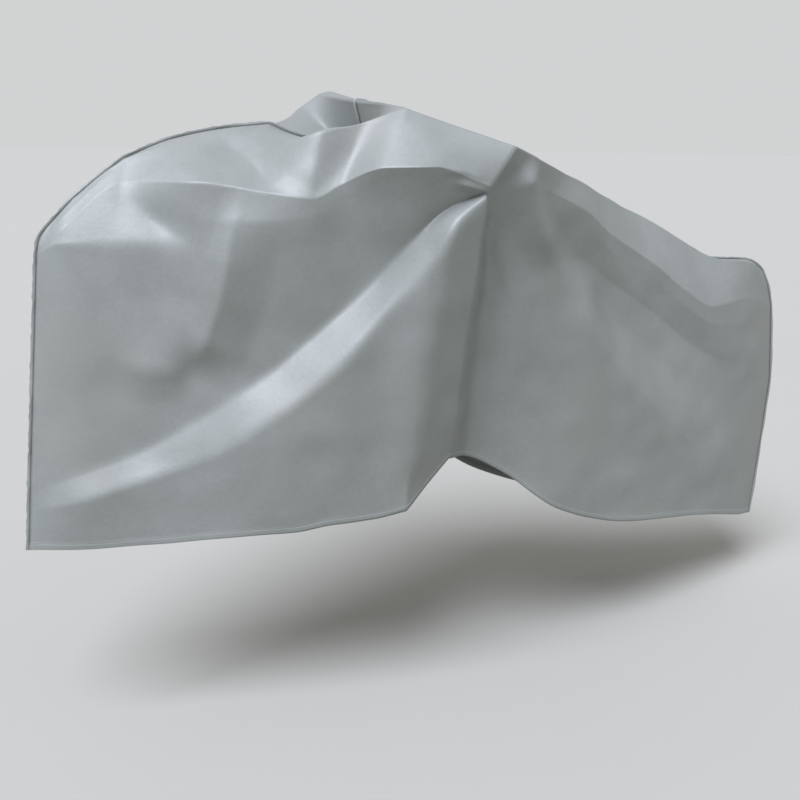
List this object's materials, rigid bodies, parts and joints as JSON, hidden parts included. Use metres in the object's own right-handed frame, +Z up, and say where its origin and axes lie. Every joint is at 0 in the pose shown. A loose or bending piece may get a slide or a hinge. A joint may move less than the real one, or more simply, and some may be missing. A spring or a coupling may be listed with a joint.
{
  "type": "fitted bicycle cover",
  "caption": "Draped cover of coated grey cloth: two side panels joined by a bound seam over the front, top and rear, hollow inside and open below.",
  "frame": {"origin": "on the middle plane, just under the top of the cover where it rests on what it covers, at the mount under_top", "axes": "+X from the front edge to the rear edge, +Y to the right-hand side, +Z up"},
  "size_m": [1.7835, 0.5973, 1.0016],
  "materials": {
    "cloth": "silver-grey coated cloth with a satin sheen, creased",
    "binding": "folded tape of the same coated cloth, with two rows of stitches"
  },
  "bodies": {
    "root": {"panel_left": "cloth", "panel_right": "cloth", "seam_binding": "binding"}
  },
  "joints": []
}
